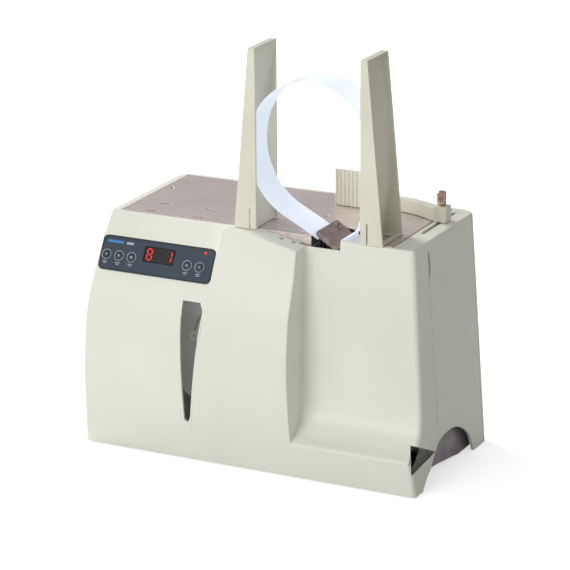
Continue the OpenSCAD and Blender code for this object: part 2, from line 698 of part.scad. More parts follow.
module spindle() place() color(steel_color) {
    rod_y(spool_mid, 6, 24, 84);
    rod_y(spool_mid, 10, plate_y + plate_t, 84);
}
module spool_hub() place() color("#c9c5be") difference() {
    union() {
        rod_y(spool_mid, hub_r, 30, 72);
        rod_y(spool_mid, 70, 71.6, 74);
    }
    rod_y(spool_mid, 6.06, 20, 80);
    // lightening pockets in the hub's face
    for (a = [0 : 60 : 300]) rod_y(spool_mid + 18 * [cos(a), sin(a)], 5.5, 20, 66);
    rod_y(spool_mid, 12, 20, 31.5);
}
module hub_clip() place() color("#4a4c50") difference() {
    rod_y(spool_mid, 11.6, 27, 31.4);
    rod_y(spool_mid, 6.06, 20, 80);
}
module roll_core() place() color("#b79a6e") difference() {
    rod_y(spool_mid, hub_r + 4, tape_y0, 71.5);
    rod_y(spool_mid, hub_r + 0.03, 20, 80);
}
module tape_roll() place() color("#efefec") difference() {
    rod_y(spool_mid, roll_r, tape_y0, 71.5);
    rod_y(spool_mid, hub_r + 4.05, 20, 80);
}

// ---- back stop -----------------------------------------------------------------------------

module backstop_fence() place() color("#cdcabb") {
    // ribbed fence
    box([fence_x[0], fence_y + 1.2, table_h + 0.5], [fence_x[1], fence_y + 4, table_h + fence_h]);
    for (i = [0 : 14]) box([fence_x[0] + i * 4.3, fence_y, table_h + 0.5],
        [fence_x[0] + i * 4.3 + 1.8, fence_y + 1.3, table_h + fence_h]);
    // curved arm to the clamp block
    difference() {
        translate([0, 0, table_h + 0.5]) linear_extrude(height = 13.5)
            polygon(concat(smooth_path(arm_front, 5), [for (i = [len(arm_front) - 1 : -1 : 0]) arm_back[i]]));
        rod_z([clamp_x, clamp_y], 1.8, 200, 300);
    }
    difference() {
        union() {
            translate([clamp_x + 0.8, clamp_y, table_h + 0.5]) linear_extrude(height = 15.5)
                polygon(round_rect(14, 14, 2.5));
        }
        rod_z([clamp_x, clamp_y], 1.8, 200, 300);
    }
}
arm_front = [[88, 141.5], [97, 142.8], [109, 141], [122, 136], [137, 128], [144, 126]];
arm_back = [[88, 147], [97, 150.5], [109, 149.5], [122, 145.5], [137, 138.5], [144, 137]];

module clamp_knob() place() color("#7a6e64") union() {
    rod_z([clamp_x, clamp_y], 4.5, table_h + 16.2, table_h + 30);
    rod_z([clamp_x, clamp_y], 3.4, table_h + 16.02, table_h + 17);
    rod_z([clamp_x, clamp_y], 1.75, 224, table_h + 17);
}
module clamp_nut() place() color(steel_color) difference() {
    box([clamp_x - 5.5, clamp_y - 5.5, 226], [clamp_x + 5.5, clamp_y + 5.5, table_h - wall - 0.3]);
    rod_z([clamp_x, clamp_y], 1.8, 200, 300);
}

// ---- electrics -----------------------------------------------------------------------------

inlet_mid = [-118, 42];
switch_mid = [-84, 42];

module transformer() place() color("#8a5a32") {
    box([-30, 104, 10], [30, 144, 58]);
    box([-20, 98, 18], [20, 150, 50]);
}
module controller_board() place() color("#2f5d3a") {
    box([-140, 92, 90], [-58, 93.6, 190]);
    box([-130, 93.6, 100], [-100, 106, 128]);
    box([-92, 93.6, 140], [-66, 99, 176]);
    for (x = [-136, -62], z = [94, 186]) rod_y([x, z], 2.5, plate_y + plate_t, 92);
}
module power_inlet() place() color("#222222") difference() {
    union() {
        box([inlet_mid[0] - 14, rear_y - 22, inlet_mid[1] - 12], [inlet_mid[0] + 14, rear_y - 0.02, inlet_mid[1] + 12]);
        box([inlet_mid[0] - 16, rear_y + 0.02, inlet_mid[1] - 14.5], [inlet_mid[0] + 16, rear_y + 2, inlet_mid[1] + 14.5]);
        box([inlet_mid[0] - 14, rear_y - 1, inlet_mid[1] - 12], [inlet_mid[0] + 14, rear_y + 1, inlet_mid[1] + 12]);
    }
    difference() {
        box([inlet_mid[0] - 12, rear_y - 16, inlet_mid[1] - 8], [inlet_mid[0] + 12, rear_y + 9, inlet_mid[1] + 8]);
        for (x = [-7, 0, 7]) box([inlet_mid[0] + x - 1, rear_y - 17, inlet_mid[1] + (x == 0 ? 0 : -2) - 2],
            [inlet_mid[0] + x + 1, rear_y - 5, inlet_mid[1] + (x == 0 ? 0 : -2) + 2]);
    }
}
module power_switch() place() color("#1d1d1d") difference() {
    union() {
        box([switch_mid[0] - 6.5, rear_y - 16, switch_mid[1] - 9.5], [switch_mid[0] + 6.5, rear_y + 0.5, switch_mid[1] + 9.5]);
        box([switch_mid[0] - 7.5, rear_y + 0.02, switch_mid[1] - 10.5], [switch_mid[0] + 7.5, rear_y + 1.4, switch_mid[1] + 10.5]);
    }
    box([switch_mid[0] - 5, rear_y - 8, switch_mid[1] - 8.4], [switch_mid[0] + 5, rear_y + 9, switch_mid[1] + 8.4]);
}
module switch_rocker() place() color("#101010") intersection() {
    along_x(switch_mid[0] - 4.8, switch_mid[0] + 4.8) difference() {
        translate([rear_y - 1, switch_mid[1]]) circle(r = 7.6);
        translate([rear_y + 11.6, switch_mid[1] - 6]) circle(r = 11);
    }
    box([switch_mid[0] - 9, rear_y - 7, switch_mid[1] - 8.2], [switch_mid[0] + 9, rear_y + 3, switch_mid[1] + 8.2]);
}

// ---- one node at a time --------------------------------------------------------------------

base_tray();
rubber_feet();
chassis_sides();
mechanism_plate();
table_plate();
right_side_cover();
left_side_cover();
rear_cover();
cover_screws();
front_cover();
door_hinge_leaves();
body_hinge_leaves();
hinge_pins();
window_pane();
control_panel();
display_window();
panel_board();
indicator_lamp();
start_button();
stop_button();
feed_button();
heat_button();
tension_button();
sensor_lenses();
left_guide();
right_guide();
tape_fin();
head_cap();
head_fins();
anvil_blade();
left_gripper();
heater_press();
right_gripper();
press_guide();
cam_shaft();
press_cams();
cam_gear();
cam_bearings();
cam_motor();
motor_pinion();
feed_shaft();
feed_roller();
feed_motor();
pinch_arm();
pinch_roller();
tape_chute();
spindle();
spool_hub();
hub_clip();
roll_core();
tape_roll();
tape_loop();
backstop_fence();
clamp_knob();
clamp_nut();
transformer();
controller_board();
power_inlet();
power_switch();
switch_rocker();
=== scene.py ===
"""Looks of a tabletop paper-band banding machine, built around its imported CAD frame.

Every casting, cover and sheet starts from the CAD solid that it stands for, so that it stays where the
design says. Its edges then get the radii that a mould or a press brake leaves. Lengths named in
millimetres are turned to metres by MM.
"""

import json
import logging
import math
from dataclasses import dataclass, field
from enum import Enum
from typing import Callable, Dict, List, Optional, Sequence, Tuple, Union

import bmesh
import bpy
from mathutils import Matrix, Vector


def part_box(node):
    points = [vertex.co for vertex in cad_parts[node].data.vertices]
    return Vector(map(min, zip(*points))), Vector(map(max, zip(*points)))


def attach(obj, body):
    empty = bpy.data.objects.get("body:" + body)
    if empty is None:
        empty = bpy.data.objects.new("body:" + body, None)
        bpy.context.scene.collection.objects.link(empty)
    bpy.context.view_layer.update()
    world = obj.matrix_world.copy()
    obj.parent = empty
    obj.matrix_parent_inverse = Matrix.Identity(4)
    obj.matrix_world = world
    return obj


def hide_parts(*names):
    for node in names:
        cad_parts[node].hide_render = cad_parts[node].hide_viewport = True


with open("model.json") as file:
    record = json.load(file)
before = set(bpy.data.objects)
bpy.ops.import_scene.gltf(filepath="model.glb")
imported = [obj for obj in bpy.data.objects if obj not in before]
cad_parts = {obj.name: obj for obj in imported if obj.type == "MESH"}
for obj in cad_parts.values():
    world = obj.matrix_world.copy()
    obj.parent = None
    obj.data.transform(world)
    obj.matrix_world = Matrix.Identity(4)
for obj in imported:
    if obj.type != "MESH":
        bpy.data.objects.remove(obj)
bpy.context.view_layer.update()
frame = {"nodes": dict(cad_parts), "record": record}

MM = 0.001
LOG = logging.getLogger("banding_machine")

# The body's outline in the CAD frame, in millimetres
FRONT_EDGE_Y = -85.1
BODY_HALF_W = 180.0
SIDE_LEAN = 16.3 / 236.0
TABLE_Z = 236.0
COLUMN_RIGHT_X = 50.0
# Left edge of the column at the table, and how far it runs left per millimetre down
COLUMN_LEFT_X = -31.0
COLUMN_SLANT = 0.1452
# The keys from left to right, the sides of the sign on each, and how far a key stands out
KEYS = ("start_button", "stop_button", "feed_button", "heat_button", "tension_button")
SIGN_SIDES = (3, 4, 16, 4, 3)
KEY_PROUD = 0.6
PANEL_TILT = math.radians(29.7)

EdgeTest = Callable[[Vector, Vector], bool]
Radius = Callable[[Vector], float]
Material = bpy.types.Material


# ---- finishes ------------------------------------------------------------------------------


def linear(hex_colour: str) -> Tuple[float, float, float, float]:
    """Turns an sRGB hex colour into linear RGBA.

    Args:
        hex_colour: Six hex digits, such as "e2e3d5".

    Returns:
        The colour that a shader socket takes.
    """
    channels = [int(hex_colour[i:i + 2], 16) / 255 for i in (0, 2, 4)]
    curve = [c / 12.92 if c <= 0.04045 else ((c + 0.055) / 1.055) ** 2.4 for c in channels]
    return (curve[0], curve[1], curve[2], 1.0)


def add_node(tree: bpy.types.NodeTree, kind: str, inputs: Optional[dict] = None,
             **settings) -> bpy.types.Node:
    """Adds a shader node, sets its properties and fills or links its inputs.

    Args:
        tree: The material's node tree.
        kind: The node's type name.
        inputs: Input name or index, and the value or the socket that feeds it.
        **settings: The node's own properties.

    Returns:
        The new node.
    """
    node = tree.nodes.new(kind)
    for name, value in settings.items():
        setattr(node, name, value)
    for key, value in (inputs or {}).items():
        if isinstance(value, bpy.types.NodeSocket):
            tree.links.new(value, node.inputs[key])
        else:
            node.inputs[key].default_value = value
    return node


class Grain(Enum):
    """The way a surface's fine pattern runs."""

    EVEN = (1.0, 1.0, 1.0)
    ALONG_X = (0.03, 1.0, 1.0)
    ALONG_Y = (1.0, 0.03, 1.0)
    ALONG_Z = (1.0, 1.0, 0.03)


@dataclass(frozen=True)
class Finish:
    """One surface finish: a real material and how its surface was made.

    Attributes:
        name: The finish's name.
        light: sRGB hex of its lighter patches.
        dark: sRGB hex of its darker patches.
        roughness: Middle roughness.
        roughness_swing: How far the roughness wanders to each side.
        metallic: 1 for bare metal.
        ior: Index of refraction; metals keep 1.5.
        grain_mm: Size of the fine pattern.
        relief_mm: Depth of the fine pattern.
        patch_mm: Size of the slow colour change.
        grain: The way the fine pattern runs.
        coat: Share of clear coat.
        alpha: Opacity.
        transmission: Share of light that passes through.
        glow: Emission strength of the light colour.
    """

    name: str
    light: str
    dark: str
    roughness: float = 0.5
    roughness_swing: float = 0.05
    metallic: float = 0.0
    ior: float = 1.5
    grain_mm: float = 1.0
    relief_mm: float = 0.02
    patch_mm: float = 60.0
    grain: Grain = Grain.EVEN
    coat: float = 0.0
    alpha: float = 1.0
    transmission: float = 0.0
    glow: float = 0.0

    def build(self) -> Material:
        """Makes the material with its node tree.

        Returns:
            The material, ready for a mesh.
        """
        material = bpy.data.materials.new(self.name)
        material.use_nodes = True
        tree = material.node_tree
        tree.nodes.clear()
        place = add_node(tree, "ShaderNodeTexCoord").outputs["Object"]
        patches = add_node(tree, "ShaderNodeTexNoise", {
            "Vector": place, "Scale": 1 / (self.patch_mm * MM), "Detail": 3.0}, noise_dimensions="3D")
        stretched = add_node(tree, "ShaderNodeMapping", {
            "Vector": place, "Scale": self.grain.value}, vector_type="POINT")
        fine = add_node(tree, "ShaderNodeTexNoise", {
            "Vector": stretched.outputs[0], "Scale": 1 / (self.grain_mm * MM), "Detail": 2.0})
        blend = add_node(tree, "ShaderNodeMath", {
            0: patches.outputs[0], 1: fine.outputs[0]}, operation="MULTIPLY_ADD")
        tree.links.new(patches.outputs[0], blend.inputs[2])
        colour = add_node(tree, "ShaderNodeValToRGB", {0: blend.outputs[0]})
        colour.color_ramp.elements[0].position = 0.45
        colour.color_ramp.elements[1].position = 0.95
        colour.color_ramp.elements[0].color = linear(self.dark)
        colour.color_ramp.elements[1].color = linear(self.light)
        rough = add_node(tree, "ShaderNodeMapRange", {
            0: fine.outputs[0], 1: 0.3, 2: 0.7,
            3: self.roughness - self.roughness_swing, 4: self.roughness + self.roughness_swing})
        bump = add_node(tree, "ShaderNodeBump", {
            "Height": fine.outputs[0], "Distance": self.relief_mm * MM, "Strength": 1.0})
        shader = add_node(tree, "ShaderNodeBsdfPrincipled", {
            "Base Color": colour.outputs[0], "Roughness": rough.outputs[0], "Normal": bump.outputs[0],
            "Metallic": self.metallic, "IOR": self.ior, "Coat Weight": self.coat,
            "Transmission Weight": self.transmission, "Alpha": self.alpha})
        if self.glow:
            shader.inputs["Emission Color"].default_value = linear(self.light)
            shader.inputs["Emission Strength"].default_value = self.glow
        output = add_node(tree, "ShaderNodeOutputMaterial", {"Surface": self.surface(tree, shader, place)})
        output.is_active_output = True
        return material

    def surface(self, tree: bpy.types.NodeTree, shader: bpy.types.Node,
                place: bpy.types.NodeSocket) -> bpy.types.NodeSocket:
        """Adds what a special finish has beyond the common pattern; the common one adds nothing.

        Args:
            tree: The material's node tree.
            shader: The common surface shader.
            place: Place on the object.

        Returns:
            The socket of the finished surface.
        """
        return shader.outputs[0]


@dataclass(frozen=True)
class RolledPaper(Finish):
    """The side of a paper roll: each turn of the tape shows as a fine ring round the axis.

    Attributes:
        axis_mm: x and z of the roll's axis.
        ring_mm: Spacing of the rings, drawn far wider than the 0.1 mm tape so that they show.
    """

    axis_mm: Tuple[float, float] = (0.0, 0.0)
    ring_mm: float = 1.6

    def surface(self, tree: bpy.types.NodeTree, shader: bpy.types.Node,
                place: bpy.types.NodeSocket) -> bpy.types.NodeSocket:
        """Adds the rings to the roll's colour, as Finish.surface does."""
        centred = add_node(tree, "ShaderNodeMapping", {
            "Vector": place, "Location": (-self.axis_mm[0] * MM, 0.0, -self.axis_mm[1] * MM)})
        rings = add_node(tree, "ShaderNodeTexWave", {
            "Vector": centred.outputs[0], "Scale": 1 / (self.ring_mm * MM) / 20 * 2 * math.pi,
            "Distortion": 0.4, "Detail": 1.0}, wave_type="RINGS", rings_direction="Y")
        base = shader.inputs["Base Color"].links[0].from_socket
        mixed = add_node(tree, "ShaderNodeMix", {
            0: rings.outputs["Fac"], 6: base, 7: linear(self.dark)}, data_type="RGBA")
        tree.links.new(mixed.outputs[2], shader.inputs["Base Color"])
        return shader.outputs[0]


@dataclass(frozen=True)
class ThinPaper(Finish):
    """Paper thin enough for light to come through from its other side.

    Attributes:
        through: Share of the light that comes through.
    """

    through: float = 0.5

    def surface(self, tree: bpy.types.NodeTree, shader: bpy.types.Node,
                place: bpy.types.NodeSocket) -> bpy.types.NodeSocket:
        """Mixes in the light from the other side, as Finish.surface does."""
        back = add_node(tree, "ShaderNodeBsdfTranslucent", {"Color": linear(self.light)})
        return add_node(tree, "ShaderNodeMixShader", {
            0: self.through, 1: shader.outputs[0], 2: back.outputs[0]}).outputs[0]


# ABS, moulded with a fine spark texture: even, soft sheen, slightly warm grey-green ivory
COVER = Finish("Moulded_ABS_ivory", "e4e5d9", "dedfd2", 0.46, 0.04, ior=1.53, grain_mm=0.9,
               relief_mm=0.012, patch_mm=120)
# The same ABS in the guides, a little yellower and glossier where tape has polished it
GUIDE = Finish("Moulded_ABS_guide", "dedccb", "d5d3c1", 0.4, 0.05, ior=1.53, grain_mm=1.2,
               relief_mm=0.01, patch_mm=40)
# Stainless sheet, brushed along the table: a long soft reflection of what stands on it
TABLE = Finish("Brushed_stainless_sheet", "dfd2cf", "d4c7c4", 0.24, 0.05, metallic=0.6, grain_mm=0.8,
               relief_mm=0.006, patch_mm=90, grain=Grain.ALONG_X)
# Galvanised and painted sheet inside: duller, faintly mauve grey
CHASSIS = Finish("Zinc_coated_sheet", "a9a0a3", "968d90", 0.5, 0.08, metallic=0.35, grain_mm=6,
                 relief_mm=0.01, patch_mm=14)
# Bright zinc plate on pins, screws and shafts: clear small highlights
PLATED = Finish("Zinc_plated_steel", "c2c3c5", "a3a4a7", 0.28, 0.06, metallic=1.0, grain_mm=0.8,
                relief_mm=0.004, patch_mm=10)
# Milled aluminium: fine cutter lines
MILLED = Finish("Milled_aluminium", "c9cacb", "b4b5b7", 0.34, 0.06, metallic=1.0, grain_mm=0.7,
                relief_mm=0.008, patch_mm=12, grain=Grain.ALONG_Y)
# Case-hardened steel, ground: darker grey
GROUND = Finish("Ground_hard_steel", "8e8f93", "747579", 0.3, 0.06, metallic=1.0, grain_mm=0.6,
                relief_mm=0.004, patch_mm=12)
# Cut brass of gears and the heated blade
BRASS = Finish("Cut_brass", "c9a766", "ad8b4d", 0.32, 0.07, metallic=1.0, grain_mm=0.8,
               relief_mm=0.005, patch_mm=8)
# Black moulded plastic of inlet and switch
BLACK = Finish("Moulded_black_nylon", "242325", "18171a", 0.42, 0.06, ior=1.53, grain_mm=0.7,
               relief_mm=0.01, patch_mm=12)
# Anodised head cap, brown-black, with a broad dull sheen
CAP = Finish("Brown_anodised_cap", "9a8886", "7d6e6c", 0.4, 0.08, metallic=0.3, grain_mm=1.0,
             relief_mm=0.012, patch_mm=8)
# Oil-blackened steel of the comb
DARK_STEEL = Finish("Blackened_steel", "3c3634", "262220", 0.4, 0.08, metallic=0.8, grain_mm=0.8,
                    relief_mm=0.008, patch_mm=6)
# Bronze-plated thumb knob
KNOB = Finish("Bronze_plated_knob", "cdb5a4", "ab9483", 0.26, 0.06, metallic=1.0, grain_mm=0.6,
              relief_mm=0.006, patch_mm=5)
# Printed polyester film of the control panel, slate blue
PANEL = Finish("Printed_film_slate", "2f3c4b", "293542", 0.48, 0.04, ior=1.45, grain_mm=0.6,
               relief_mm=0.004, patch_mm=30)
PANEL_EDGE = Finish("Printed_film_border", "1b2531", "17202b", 0.48, 0.04, ior=1.45, grain_mm=0.6,
                    relief_mm=0.004, patch_mm=30)
# Key caps and their printed marks; the pale mark colour also paints a highlight ring round each key
KEY = Finish("Moulded_key_dark", "222c38", "1c2530", 0.42, 0.05, ior=1.5, grain_mm=0.5,
             relief_mm=0.004, patch_mm=6)
MARK = Finish("Printed_mark_pale_and_painted_highlight", "aab4c0", "97a2ae", 0.5, 0.03, grain_mm=0.5, relief_mm=0.002,
              patch_mm=6)
MARK_BLUE = Finish("Printed_mark_blue", "3f83bf", "3576b0", 0.5, 0.03, grain_mm=0.5,
                   relief_mm=0.002, patch_mm=6)
# Smoked acrylic over the digits: black and glossy
LENS = Finish("Smoked_acrylic_lens", "1a0d0c", "140908", 0.3, 0.02, ior=1.4, grain_mm=4,
              relief_mm=0.001, patch_mm=20)
DIGIT = Finish("Lit_red_segment", "d8261a", "c91d12", 0.4, 0.02, grain_mm=2, relief_mm=0.001, glow=0.75)
DIGIT_OFF = Finish("Unlit_red_segment", "1f0d0b", "1a0b09", 0.4, 0.02, grain_mm=2, relief_mm=0.001)
LAMP = Finish("Lit_red_lamp", "e8452f", "d83420", 0.3, 0.03, ior=1.49, grain_mm=2, relief_mm=0.001,
              glow=0.35)
# Clear acrylic window, faintly smoked
WINDOW = Finish("Clear_acrylic_window", "8f908c", "868783", 0.06, 0.01, ior=1.49, grain_mm=8,
                relief_mm=0.001, patch_mm=50, alpha=0.07)
BOARD = Finish("Green_solder_resist", "2e6b41", "235634", 0.35, 0.05, grain_mm=1.2, relief_mm=0.01,
               patch_mm=8)
MOTOR = Finish("Black_painted_steel", "3a3c40", "2e3034", 0.4, 0.06, grain_mm=0.9, relief_mm=0.012,
               patch_mm=15)
RUBBER = Finish("Ground_rubber", "2c2a29", "201f1e", 0.75, 0.06, ior=1.52, grain_mm=0.8,
                relief_mm=0.03, patch_mm=8)
# White moulded hub; its faint glow is painted light that brightens the hub inside the dark housing, since the
# hub is no lamp
HUB = Finish("Moulded_hub_white", "e6e3dc", "dad6ce", 0.42, 0.05, ior=1.53, grain_mm=0.8,
             relief_mm=0.01, patch_mm=20, glow=0.1)
CLIP = Finish("Moulded_clip_grey", "5a5c60", "4a4c50", 0.42, 0.05, ior=1.53, grain_mm=0.8,
              relief_mm=0.01, patch_mm=8)
CORE = Finish("Spiral_card_tube", "cdc8bc", "bdb7aa", 0.8, 0.05, grain_mm=0.8, relief_mm=0.03,
              patch_mm=10)
# Coated paper tape, bright and faintly blue, with a soft fibre; its glow is painted light that brightens the
# loop's shaded side, since the tape is no lamp
PAPER = ThinPaper("Coated_paper_tape", "f4f8ff", "eef3fc", 0.62, 0.05, ior=1.45, grain_mm=0.7,
                  relief_mm=0.004, patch_mm=25, glow=0.36, through=0.45)
TRANSFORMER = Finish("Varnished_laminations", "7a5b42", "5e4432", 0.4, 0.08, metallic=0.3,
                     grain_mm=0.7, relief_mm=0.03, patch_mm=12, grain=Grain.ALONG_X)


class Palette:
    """Builds each finish once and hands out its material."""

    def __init__(self) -> None:
        """Starts with no material built."""
        self._built: Dict[str, Material] = {}

    def get(self, finish: Finish) -> Material:
        """Returns the finish's material, building it the first time."""
        if finish.name not in self._built:
            self._built[finish.name] = finish.build()
        return self._built[finish.name]


PALETTE = Palette()


# ---- mesh helpers --------------------------------------------------------------------------


@dataclass
class Rounding:
    """How far a copy of a CAD solid has its edges rounded.

    Attributes:
        small: Radius of every sharp edge, in millimetres.
        big: Larger radii, each with the test that picks its edges. The first that fits counts. A
            radius may be a function of the edge's middle.
        segments: Facets across each rounded edge.
        sharp_deg: An edge is sharp past this angle.
        clamp: Whether radii shrink where they would cross.
    """

    small: float = 0.4
    big: Sequence[Tuple[Union[float, Radius], EdgeTest]] = field(default_factory=tuple)
    segments: int = 3
    sharp_deg: float = 28.0
    clamp: bool = False


def design_point(p: Vector) -> Vector:
    """Turns a point in metres into the design's millimetres, with y from the front bottom edge."""
    return Vector((p.x / MM, p.y / MM - FRONT_EDGE_Y, p.z / MM))


def merged_copy(node: str) -> bmesh.types.BMesh:
    """Copies a CAD node's mesh and joins its loose triangles into whole flat faces.

    Args:
        node: The CAD node's name.

    Returns:
        The merged mesh.
    """
    bm = bmesh.new()
    bm.from_mesh(frame["nodes"][node].data)
    bmesh.ops.remove_doubles(bm, verts=bm.verts, dist=0.004 * MM)
    bmesh.ops.dissolve_degenerate(bm, dist=0.002 * MM, edges=bm.edges)
    bmesh.ops.dissolve_limit(bm, angle_limit=math.radians(0.25), verts=bm.verts, edges=bm.edges,
                             use_dissolve_boundaries=False, delimit={"NORMAL"})
    return bm


def new_object(name: str, bm: bmesh.types.BMesh, finish: Finish, smooth_deg: float = 40.0
               ) -> bpy.types.Object:
    """Turns a bmesh into an object at the origin with one finish.

    Args:
        name: The piece's name.
        bm: The mesh, in metres; it is freed.
        finish: The piece's finish.
        smooth_deg: Edges flatter than this are shaded smooth.

    Returns:
        The new object.
    """
    mesh = bpy.data.meshes.new(name)
    bm.to_mesh(mesh)
    bm.free()
    mesh.materials.append(PALETTE.get(finish))
    mesh.shade_smooth()
    mesh.set_sharp_from_angle(angle=math.radians(smooth_deg))
    thing = bpy.data.objects.new(name, mesh)
    bpy.context.scene.collection.objects.link(thing)
    return thing


def bake_modifiers(thing: bpy.types.Object) -> None:
    """Applies an object's modifiers to its mesh."""
    graph = bpy.context.evaluated_depsgraph_get()
    mesh = bpy.data.meshes.new_from_object(thing.evaluated_get(graph), depsgraph=graph)
    thing.modifiers.clear()
    thing.data = mesh


def round_edges(thing: bpy.types.Object, rounding: Rounding) -> None:
    """Rounds an object's sharp edges, each to its own radius, and hardens the flats between.

    Args:
        thing: The object to round.
        rounding: The radii.
    """
    bm = bmesh.new()
    bm.from_mesh(thing.data)
    weight = bm.edges.layers.float.new("bevel_weight_edge")
    limit = math.radians(rounding.sharp_deg)
    radii = {}
    for edge in bm.edges:
        if len(edge.link_faces) != 2 or edge.calc_face_angle(0.0) < limit:
            continue
        a, b = design_point(edge.verts[0].co), design_point(edge.verts[1].co)
        radius = next((r for r, fits in rounding.big if fits(a, b)), rounding.small)
        radii[edge] = radius((a + b) / 2) if callable(radius) else radius
    widest = max(radii.values(), default=rounding.small)
    for edge, radius in radii.items():
        edge[weight] = radius / widest
    bm.to_mesh(thing.data)
    bm.free()
    bevel = thing.modifiers.new("radius", "BEVEL")
    bevel.limit_method = "WEIGHT"
    bevel.width = widest * MM
    bevel.segments = rounding.segments
    bevel.profile = 0.5
    bevel.use_clamp_overlap = rounding.clamp
    bevel.miter_outer = "MITER_ARC"
    flat = thing.modifiers.new("flat_faces", "WEIGHTED_NORMAL")
    flat.keep_sharp = True
    flat.weight = 50
    bake_modifiers(thing)


def ring(bm: bmesh.types.BMesh, at: Matrix, outer: float, inner: float, thick: float,
         segments: int = 72) -> None:
    """Adds a flat ring with softened edges.

    Args:
        bm: The mesh that it is added to.
        at: Frame of its bottom's middle, in metres; it rises along z.
        outer: Outer radius in millimetres.
        inner: Inner radius in millimetres.
        thick: Thickness in millimetres.
        segments: Sides of the circles.
    """
    soft = min(0.25, thick / 3)
    profile = ((inner, 0), (inner, thick - soft), (inner + soft, thick), (outer - soft, thick),
               (outer, thick - soft), (outer, 0))
    earlier = set(bm.verts)
    verts = [bmesh.ops.create_vert(bm, co=(r * MM, 0, z * MM))["vert"][0] for r, z in profile]
    edges = [bm.edges.new((a, b)) for a, b in zip(verts, verts[1:] + verts[:1])]
    bmesh.ops.spin(bm, geom=verts + edges, cent=(0, 0, 0), axis=(0, 0, 1), dvec=(0, 0, 0),
                          angle=2 * math.pi, steps=segments, use_merge=True, use_duplicate=False)
    bmesh.ops.transform(bm, matrix=at, verts=[v for v in bm.verts if v not in earlier])
    bmesh.ops.recalc_face_normals(bm, faces=bm.faces)


def place_piece(thing: bpy.types.Object, body: str, slot: str, *nodes: str) -> bpy.types.Object:
    """Fixes a piece to its body and hides the CAD nodes it stands for.

    Args:
        thing: The piece.
        body: The CAD body that it moves with.
        slot: The record's material slot; not used.
        *nodes: CAD nodes that it replaces.

    Returns:
        The piece.
    """
    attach(thing, body)
    if nodes:
        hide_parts(*nodes)
    LOG.info("%s rides on %s with %d faces", thing.name, body, len(thing.data.polygons))
    return thing


SLOT_OF = {row["node"]: row["material_slot"] for row in frame["record"]["subparts"]}
BODY_OF = {node: body for body, nodes in frame["record"]["behaviour"]["bodies"].items() for node in nodes}


def rounded(node: str, finish: Finish, rounding: Optional[Rounding] = None) -> bpy.types.Object:
    """Builds the finished piece of a CAD node: its solid with rounded edges and a finish.

    Args:
        node: The CAD node.
        finish: The piece's finish.
        rounding: Its radii; small ones if none are given.

    Returns:
        The piece, in place.
    """
    thing = new_object(node + "_finished", merged_copy(node), finish)
    round_edges(thing, rounding or Rounding())
    return place_piece(thing, BODY_OF[node], SLOT_OF[node], node)


def box_mid(node: str) -> Vector:
    """The middle of a CAD node's box, in metres."""
    low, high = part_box(node)
    return (low + high) / 2


# ---- covers --------------------------------------------------------------------------------


